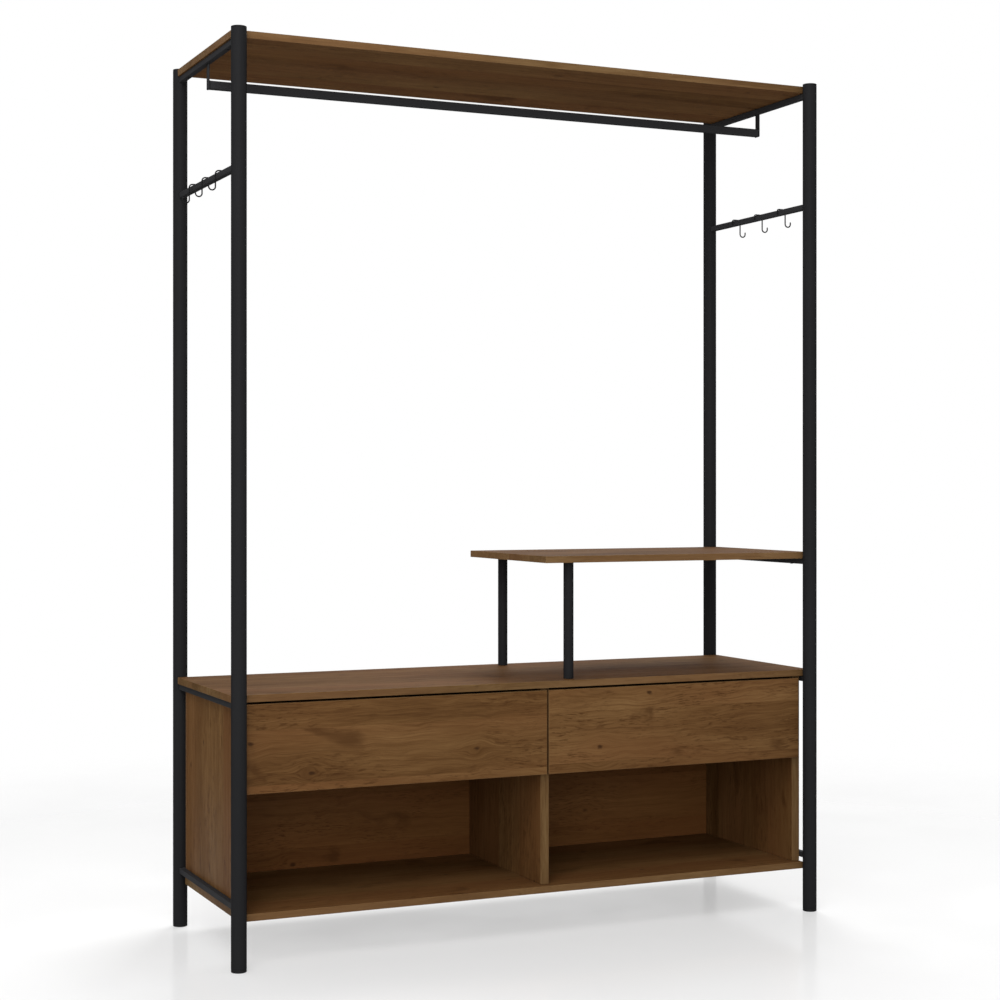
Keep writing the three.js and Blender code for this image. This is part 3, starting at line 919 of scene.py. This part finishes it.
def wood_pair(node, axes, seed):
    """A board's face print, and the plainer print of its edge tape."""
    tape_seed = seed + TAPE_SEED_STEP
    tape = wood(f"wood_{node}_edge", axes, tape_seed, figure=TAPE_FIGURE, tint=TAPE_TINT)
    return [wood(f"wood_{node}", axes, seed), tape]


def add_wood_boards():
    for seed, (node, axes) in enumerate(WOOD_BOARDS.items(), start=1):
        add_board(node, wood_pair(node, axes, seed))


def add_back_panel():
    """Laminated on the inside and bare fibre on the rear and the edges."""
    # The inside's print gets a darker, redder tint: painted shade and bounced light for the niche that
    # it faces.
    inside = wood("wood_back_panel", FRONTAL, BACK_PANEL_SEED, tint=BACK_PAINTED_SHADE_TINT)
    piece = add_board("back_panel", [inside, hardboard()], BOX_ROUND)
    for face in piece.data.polygons:
        face.material_index = 0 if face.normal.y < -FACING else 1


# ---------------------------------------------------------------- drawer boxes


def groove_around(bottom):
    """The low and high corners of the groove that holds a drawer's bottom."""
    low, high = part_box(bottom)
    play = Vector((GROOVE_PLAY, GROOVE_PLAY, GROOVE_PLAY))
    return low - play, high + play


def add_drawer_front(name, seed):
    """The front board, with a groove across its rear face for the drawer's bottom."""
    node = f"{name}_front"
    groove_low, groove_high = groove_around(f"{name}_bottom")
    bm = rounded_box(*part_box(node), BOARD_ROUND)
    backwards = [face for face in bm.faces if face.normal.y > FACING]
    rear = max(backwards, key=lambda face: face.calc_area())
    bmesh.ops.inset_individual(bm, faces=[rear], thickness=FIRST_INSET)
    middle = rear.calc_center_median()
    for vertex in rear.verts:
        vertex.co.x = groove_low.x if vertex.co.x < middle.x else groove_high.x
        vertex.co.z = groove_low.z if vertex.co.z < middle.z else groove_high.z
    floor = bmesh.ops.extrude_discrete_faces(bm, faces=[rear])["faces"][0]
    for vertex in floor.verts:
        vertex.co.y = groove_low.y
    finish_board(node, bm, wood_pair(node, FRONTAL, seed))


def add_drawer_side(name, side, material):
    """A side board, with a groove along its inner face for the drawer's bottom."""
    node = f"{name}_{side}_side"
    low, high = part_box(node)
    centre = middle_of(node)
    inwards = 1 if side == "left" else -1
    groove_low, groove_high = groove_around(f"{name}_bottom")
    groove_x = groove_low.x if side == "left" else groove_high.x
    face_reach = (high.x - low.x) / 2
    groove_reach = abs(groove_x - centre.x)

    # The section starts at the upper inner corner, goes once around, and ends with the groove.
    section = rounded_rectangle(high.x - low.x, high.z - low.z, BOX_ROUND, ROUND_STEPS)
    section.append((face_reach, groove_low.z - centre.z))
    section.append((groove_reach, groove_low.z - centre.z))
    section.append((groove_reach, groove_high.z - centre.z))
    section.append((face_reach, groove_high.z - centre.z))

    def ring(y):
        return [(centre.x + inwards * x, y, centre.z + z) for x, z in section]

    bm = bmesh.new()
    join_rings(bm, [ring(low.y), ring(high.y)])
    face_outwards(bm)
    finish_board(node, bm, [material])


def add_drawer_box(name, seed):
    side_print = box_board(f"{name}_side_board", SIDEWAYS, BOX_SIDE_SEED)
    cross_print = box_board(f"{name}_cross_board", FRONTAL, BOX_CROSS_SEED)
    floor_print = box_board(f"{name}_floor_board", LYING, BOX_FLOOR_SEED)
    add_drawer_front(name, seed)
    for side in ("left", "right"):
        add_drawer_side(name, side, side_print)
    add_board(f"{name}_back", [cross_print], BOX_ROUND)
    add_board(f"{name}_bottom", [floor_print], BOX_ROUND)


# ---------------------------------------------------------------- drawer slides


def bent_sheet(corners):
    """The outline of a folded sheet whose middle runs through corners, with round bends."""
    middle = [Vector(corners[0])]
    for before, corner, after in zip(corners, corners[1:], corners[2:]):
        into = (Vector(corner) - Vector(before)).normalized()
        out = (Vector(after) - Vector(corner)).normalized()
        centre = Vector(corner) - into * SLIDE_BEND + out * SLIDE_BEND
        for step in range(SLIDE_BEND_STEPS + 1):
            angle = math.pi / 2 * step / SLIDE_BEND_STEPS
            arm = into * math.sin(angle) - out * math.cos(angle)
            middle.append(centre + arm * SLIDE_BEND)
    middle.append(Vector(corners[-1]))
    left = []
    right = []
    for index, point in enumerate(middle):
        ahead = middle[min(index + 1, len(middle) - 1)] - middle[max(index - 1, 0)]
        normal = Vector((-ahead.y, ahead.x)).normalized() * SLIDE_SHEET / 2
        left.append(point + normal)
        right.append(point - normal)
    return left + list(reversed(right))


def web_on_right(node):
    """A slide's web is on the side that it is screwed to."""
    return node.endswith("_left_drawer_slide") or node.endswith("_right_cabinet_slide")


def add_slide(node, lip, material):
    """A folded steel channel along the drawer."""
    low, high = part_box(node)
    centre = middle_of(node)
    facing = -1 if web_on_right(node) else 1
    half_height = (high.z - low.z) / 2 - SLIDE_SHEET / 2
    edge = (high.x - low.x) / 2 - SLIDE_SHEET / 2
    corners = [(-edge, half_height), (edge, half_height)]
    if lip > SLIDE_SHEET + SLIDE_BEND:
        corners.append((edge, half_height - lip + SLIDE_SHEET / 2))
    mirrored = [(x, -z) for x, z in corners]
    section = bent_sheet(list(reversed(corners)) + mirrored)

    def ring(y):
        return [(centre.x + facing * point.x, y, centre.z + point.y) for point in section]

    bm = bmesh.new()
    join_rings(bm, [ring(low.y), ring(high.y)])
    face_outwards(bm)
    stand_for(node, bm, [material])


# ---------------------------------------------------------------- screws and nails


def add_screw_head(bm, place, outwards, radius=SCREW_RADIUS, height=SCREW_HEIGHT):
    """A low pan head with a cross recess."""
    outwards = Vector(outwards).normalized()
    across = outwards.orthogonal().normalized()
    over = outwards.cross(across)

    def ring(share, rise, crossed):
        points = []
        for side in range(SCREW_SIDES):
            angle = 2 * math.pi * side / SCREW_SIDES
            reach = share
            if crossed:
                arms = abs(math.cos(2 * angle)) ** 3
                reach *= RECESS_WAIST + (1 - RECESS_WAIST) * arms
            arm = across * math.cos(angle) + over * math.sin(angle)
            points.append(Vector(place) + arm * reach * radius + outwards * rise * height)
        return points

    rings = [ring(share, rise, False) for share, rise in HEAD_RINGS]
    rings += [ring(share, rise, True) for share, rise in RECESS_RINGS]
    join_rings(bm, rings)


def add_rail_screws(material):
    """Under each rail that carries a board, two screws."""
    groups = {
        "top_rail_screws": ["top_rail_left", "top_rail_right"],
        "bench_rail_screws": ["bench_rail_left", "bench_rail_right"],
        "side_shelf_rail_screws": ["side_shelf_rail"],
    }
    for name, rails in groups.items():
        bm = bmesh.new()
        for rail in rails:
            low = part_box(rail)[0]
            centre = middle_of(rail)
            for side in (-1, 1):
                y = side * (POST_Y - RAIL_SCREW_INSET)
                add_screw_head(bm, (centre.x, y, low.z), (0, 0, -1))
        face_outwards(bm)
        add_piece(name, bm, [material], "stand")


def add_slide_screws(node, material):
    """On the inner face of a slide's web."""
    low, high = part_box(node)
    centre = middle_of(node)
    x = high.x - SLIDE_SHEET if web_on_right(node) else low.x + SLIDE_SHEET
    outwards = (-1 if web_on_right(node) else 1, 0, 0)
    bm = bmesh.new()
    for distance in SLIDE_SCREW_PLACES:
        add_screw_head(bm, (x, low.y + distance, centre.z), outwards)
    face_outwards(bm)
    add_piece(f"{node}_screws", bm, [material], BODY_OF[node])


def add_back_nails(material):
    """Up the rear of the back panel, behind each upright."""
    low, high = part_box("back_panel")
    count = int((high.z - low.z) / NAIL_SPACING)
    first = (low.z + high.z - (count - 1) * NAIL_SPACING) / 2
    bm = bmesh.new()
    for upright in ("side_panel_left", "partition", "side_panel_right"):
        for index in range(count):
            place = (middle_of(upright).x, high.y, first + index * NAIL_SPACING)
            add_screw_head(bm, place, (0, 1, 0), NAIL_RADIUS, NAIL_HEIGHT)
    face_outwards(bm)
    add_piece("back_panel_nails", bm, [material], "stand")


# ---------------------------------------------------------------- the whole object


def add_frame():
    steel = paint("frame_paint", PAINT_BLACK, PAINT_ROUGHNESS)
    plastic = moulded_plastic()
    for end in ("front", "back"):
        for side in ("left", "right"):
            add_round_tube(f"post_{end}_{side}", steel)
            add_tube_end(f"cap_{end}_{side}", plastic, 1, CAP_RIM, CAP_CROWN)
            add_tube_end(f"foot_{end}_{side}", plastic, -1, FOOT_RIM, FOOT_CROWN)
    for side in ("left", "right"):
        for rail in ("top_rail", "hook_rail", "bench_rail", "base_rail"):
            add_side_rail(f"{rail}_{side}", steel)
        add_rod_hanger(f"rod_hanger_{side}", steel)
    add_side_rail("side_shelf_rail", steel)
    add_clothes_rod(steel)
    for end in ("front", "back"):
        add_round_tube(f"shelf_post_{end}", steel)
    add_rail_screws(steel)


def add_hooks():
    wire = paint("hook_wire", WIRE_BLACK, WIRE_ROUGHNESS)
    for side in ("left", "right"):
        for row in ("front", "middle", "back"):
            add_hook(f"s_hook_{side}_{row}", wire)


def add_drawers():
    for name, seed in DRAWER_SEEDS.items():
        add_drawer_box(name, seed)


def add_slides():
    sheet = bright_steel("slide_steel", along=1)
    head = bright_steel("screw_steel", along=2)
    lips = {"cabinet_slide": CABINET_SLIDE_LIP, "drawer_slide": DRAWER_SLIDE_LIP}
    for drawer in DRAWER_SEEDS:
        for side in ("left", "right"):
            for part, lip in lips.items():
                node = f"{drawer}_{side}_{part}"
                add_slide(node, lip, sheet)
                add_slide_screws(node, head)
    add_back_nails(head)


add_studio()
add_frame()
add_hooks()
add_wood_boards()
add_back_panel()
add_drawers()
add_slides()
